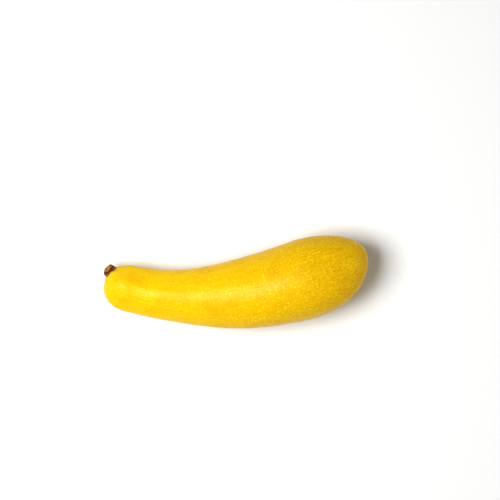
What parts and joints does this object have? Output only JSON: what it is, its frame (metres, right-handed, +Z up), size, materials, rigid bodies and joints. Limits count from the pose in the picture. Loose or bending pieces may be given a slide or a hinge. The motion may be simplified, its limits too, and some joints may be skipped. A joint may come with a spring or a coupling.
{
  "type": "yellow squash",
  "caption": "Whole yellow straightneck squash lying on its side: slim neck with a short dry stem stub, gentle sideways bend, swollen body and rounded blossom end.",
  "frame": {"origin": "middle of the narrow flat strip that the fruit rests on, on the supporting surface and below the fruit's weight", "axes": "+Z up; +X from the stem end towards the blossom end, along the length; +Y towards the inside of the bend"},
  "size_m": [0.1856, 0.0651, 0.0561],
  "materials": {
    "yellow_rind": "satin",
    "dry_stem": "matte"
  },
  "bodies": {
    "root": {"fruit": "yellow_rind", "stem_stub": "dry_stem"}
  },
  "joints": []
}
